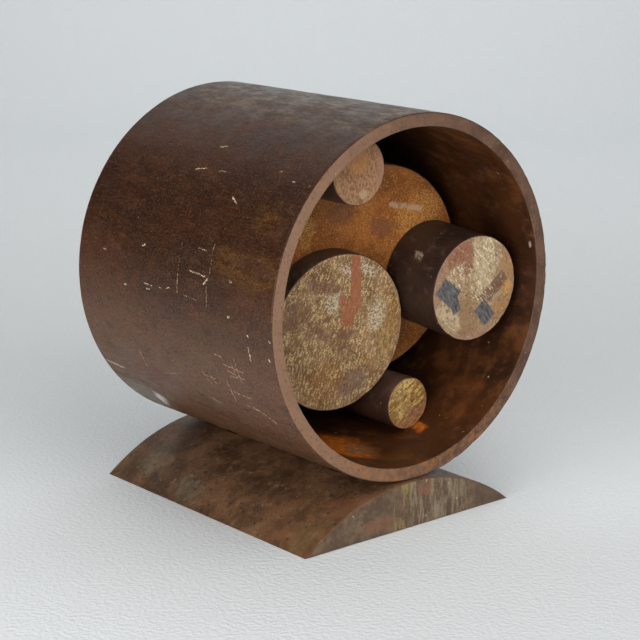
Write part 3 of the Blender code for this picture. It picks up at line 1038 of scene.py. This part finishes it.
def make_slug(node, body, outward, finishes, seed, rear=None, front=None):
    """A round bar with worn edges. rear and front are its pockets, radius and depth."""
    place, radius, length = face_frame(node, outward)
    edge, lip = 0.45 * MM, 0.1 * MM
    corners = []
    if front:
        hole, deep = front
        corners += [(0, -deep, 0, 2), (hole, -deep, 0, 2), (hole, 0, lip, 0)]
    else:
        corners += [(0, 0, 0, 0)]
    corners += [(radius, 0, edge, 1), (radius, -length, edge, 2)]
    if rear:
        hole, deep = rear
        floor = deep - length
        corners += [(hole, -length, lip, 2), (hole, floor, 0, 2), (0, floor, 0, 2)]
    else:
        corners += [(0, -length, 0, 2)]
    piece = lathe(node + "_steel", place, corners, finishes)
    wear(piece, 0.14 * MM, 7 * MM, seed)
    nick(piece, radius, seed)
    claim(piece, body, node)


def nick(piece, radius, seed):
    """Small knocks along the front edge, which only ever take metal away."""
    reach, size, depth = 1.6 * MM, 4 * MM, 0.45 * MM
    for vertex in piece.data.vertices:
        out = sqrt(vertex.co.x**2 + vertex.co.y**2)
        near = 1 - min(1, (abs(out - radius) + abs(vertex.co.z)) / reach)
        if near > 0:
            value = noise.noise(vertex.co / size + Vector((seed, seed, seed)))
            knock = near * max(0, value - 0.1) * depth
            vertex.co.z -= knock
            vertex.co.x -= vertex.co.x / out * knock
            vertex.co.y -= vertex.co.y / out * knock


def make_pipe():
    place, radius, length = face_frame("pipe", FRONT)
    inner = face_frame("back_plate", FRONT)[1] + GAP
    edge = 0.5 * MM
    corners = [
        (inner, 0, edge, 1),
        (radius, 0, edge, 0),
        (radius, -length, edge, 1),
        (inner, -length, edge, 2),
    ]
    finishes = [pipe_outside(), pipe_rim(), pipe_inside()]
    pipe = lathe("pipe_steel", place, corners, finishes, PIPE_SIDES, 1.4 * MM, True)
    wear(pipe, 0.16 * MM, 16 * MM, 2)
    nick(pipe, radius, 5)
    claim(pipe, "pipe", "pipe")


def make_weld(node, finish):
    """A weld bead laid in overlapping ripples."""
    ripples, bow, sink = 26, 3, 0.1
    low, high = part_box(node)
    centre = (low + high) / 2
    axis = Vector((centre.x, 0, centre.z - PIPE_AXIS.z)).normalized()
    across = axis.cross(FRONT).normalized()
    turn = Matrix((axis, across, axis.cross(across))).transposed()
    local = points_of(node) @ np.array(turn)
    half = (local.max(0) - local.min(0)) / 2
    form = bmesh.new()
    bmesh.ops.create_uvsphere(form, u_segments=32, v_segments=64, radius=1)
    swap = Matrix.Rotation(radians(90), 3, "X")
    for vertex in form.verts:
        spot = swap @ vertex.co
        along = spot.y
        crest = 0.5 + 0.5 * cos(along * ripples - bow * (1 - spot.x * spot.x))
        shrink = 1 - sink * crest
        vertex.co = Vector((spot.x * half[0] * shrink, along * half[1], spot.z * half[2] * shrink))
    bead = new_piece(node + "_bead", form, Matrix.Translation(centre) @ turn.to_4x4(), [finish])
    claim(bead, "pipe", node)


def make_magnet(node, body, outward, finish):
    place, radius, length = face_frame(node, outward)
    edge = 0.35 * MM
    corners = [(0, 0, 0, 0), (radius, 0, edge, 0), (radius, -length, edge, 0), (0, -length, 0, 0)]
    piece = lathe(node + "_plated", place, corners, [finish], SMALL_SIDES, 1.2 * MM)
    claim(piece, body, node)


def make_sleeve(node, magnet, body, outward, finish):
    place, radius, length = face_frame(node, outward)
    bore = face_frame(magnet, outward)[1] + GAP
    edge = 0.2 * MM
    outline = ((bore, 0), (radius, 0), (radius, -length), (bore, -length))
    corners = [(r, z, edge, 0) for r, z in outline]
    piece = lathe(node + "_turned", place, corners, [finish], SMALL_SIDES, 1.2 * MM, True)
    claim(piece, body, node)


def base_sections(half, length, height):
    """Cuts across the base from front to rear, each its y and its columns (x, top, sole)."""
    columns, cuts, edge, least = 90, 96, 0.5 * MM, 0.02 * MM
    bar = (half**2 + height**2) / (2 * height)
    turns = (0, 0.4, 0.8, 1.2, pi / 2)
    rounded = [(-length / 2 + edge * (1 - cos(a)), edge * (1 - sin(a))) for a in turns]
    run = length - 2 * edge
    middle = [(-length / 2 + edge + run * cut / cuts, 0) for cut in range(1, cuts)]
    mirrored = [(-y, inset) for y, inset in reversed(rounded)]
    sections = []
    for y, inset in rounded + middle + mirrored:
        section = []
        for column in range(columns + 1):
            x = (-half + 2 * half * column / columns) * (1 - 2.5 * inset / half)
            arch = sqrt(max(0, (bar - inset) ** 2 - x * x)) - (bar - height)
            section.append((x, max(inset + least, arch), inset))
        sections.append((y, section))
    return sections


def make_base(steel, sawn):
    """The segment of bar: its arch, its sole and its two sawn ends."""
    low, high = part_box("base_block")
    sections = base_sections((high.x - low.x) / 2, high.y - low.y, high.z - low.z)
    form = bmesh.new()
    arches = [[form.verts.new((x, y, top)) for x, top, _ in section] for y, section in sections]
    soles = [[form.verts.new((x, y, foot)) for x, _, foot in section] for y, section in sections]
    cuts = list(zip(arches, soles))
    columns = len(arches[0]) - 1
    for (arch, sole), (next_arch, next_sole) in zip(cuts, cuts[1:]):
        for a in range(columns):
            b = a + 1
            form.faces.new((arch[a], arch[b], next_arch[b], next_arch[a]))
            form.faces.new((sole[a], next_sole[a], next_sole[b], sole[b]))
        for a in (0, columns):
            form.faces.new((arch[a], next_arch[a], next_sole[a], sole[a]))
    for arch, sole in (cuts[0], cuts[-1]):
        for a in range(columns):
            b = a + 1
            form.faces.new((sole[a], sole[b], arch[b], arch[a])).material_index = 1
    bmesh.ops.recalc_face_normals(form, faces=form.faces)
    centre = Vector(((low.x + high.x) / 2, 0, 0))
    block = new_piece("base_steel", form, Matrix.Translation(centre), [steel, sawn])
    for end in ("front", "rear"):
        place, _, deep = face_frame("base_magnet_" + end, UP)
        hole = face_frame("base_sleeve_" + end, UP)[1] + GAP
        drill(block, place, hole, deep + GAP)
    weather(block)
    claim(block, "base", "base_block")


def weather(block):
    """Sinks the base's surface unevenly, except the flat it stands on."""
    broad, small, depth, foot = 14 * MM, 4 * MM, 0.16 * MM, 1 * MM
    for vertex in block.data.vertices:
        if vertex.co.z > foot:
            value = 0.5 + noise.noise(vertex.co / broad) * 0.7
            value += 0.3 * noise.noise(vertex.co / small)
            vertex.co.z -= depth * min(1, max(0, value))


def drill(block, place, radius, depth):
    """Cuts a round pocket into the block, from above its surface down to this depth."""
    form = bmesh.new()
    above = 10 * MM
    shift = Matrix.Translation((0, 0, (above - depth) / 2))
    bmesh.ops.create_cone(
        form,
        cap_ends=True,
        segments=SMALL_SIDES,
        radius1=radius,
        radius2=radius,
        depth=depth + above,
        matrix=shift,
    )
    cutter = new_piece("pocket_cutter", form, place, [])
    step = block.modifiers.new("pocket", "BOOLEAN")
    step.object = cutter
    step.solver = "EXACT"
    bpy.context.view_layer.update()
    solved = block.evaluated_get(bpy.context.evaluated_depsgraph_get())
    mesh = bpy.data.meshes.new_from_object(solved)
    block.modifiers.clear()
    block.data = mesh
    bpy.data.objects.remove(cutter)


make_camera()
make_stage()
make_pipe()
flake = (17, 35, radius_of("right_slug", LEAN))
dark_side = slug_side("slug_side", srgb(40, 28, 24), srgb(58, 40, 32), srgb(86, 66, 56), 140, flake)
disc_side = slug_side("disc_side", srgb(60, 42, 32), srgb(84, 62, 50), srgb(120, 96, 80), 150)
rod_side = slug_side("rod_side", srgb(58, 40, 32), srgb(86, 62, 50), srgb(112, 88, 72), 160)
turned = machined("turned_steel", srgb(74, 56, 46), srgb(112, 90, 74), 170)
for name, slot, outward, face, side, seed in (
    ("upper_rod", "tan_steel", FRONT, upper_rod_face, rod_side, 3),
    ("lower_rod", "tan_steel", FRONT, lower_rod_face, rod_side, 4),
    ("left_disc", "tan_steel", LEAN, left_disc_face, disc_side, 5),
    ("right_slug", "pale_steel", LEAN, right_slug_face, dark_side, 6),
):
    rear = pocket(name + "_magnet", name + "_sleeve", outward)
    make_slug(name, name, outward, [face(), side, turned], seed, rear=rear)
make_slug(
    "large_disc", "disc_stack", LEAN, [large_disc_face(), disc_side, turned], 7
)
make_slug(
    "carrier_slug", "disc_stack", LEAN, [turned, dark_side, turned], 8,
    rear=pocket("carrier_rear_magnet", "carrier_rear_sleeve", LEAN),
    front=pocket("carrier_front_magnet", "carrier_front_sleeve", LEAN),
)
make_slug("back_plate", "pipe", FRONT, [turned, dark_side, turned], 9)
weld = weld_metal()
for number in range(1, 5):
    make_weld(f"tack_weld_{number}", weld)
make_base(base_steel(), base_end())
plating, turned_brass = nickel(), brass()
for stem, body, outward in MAGNETS:
    magnet, sleeve = stem.format("magnet"), stem.format("sleeve")
    make_magnet(magnet, body, outward, plating)
    make_sleeve(sleeve, magnet, body, outward, turned_brass)
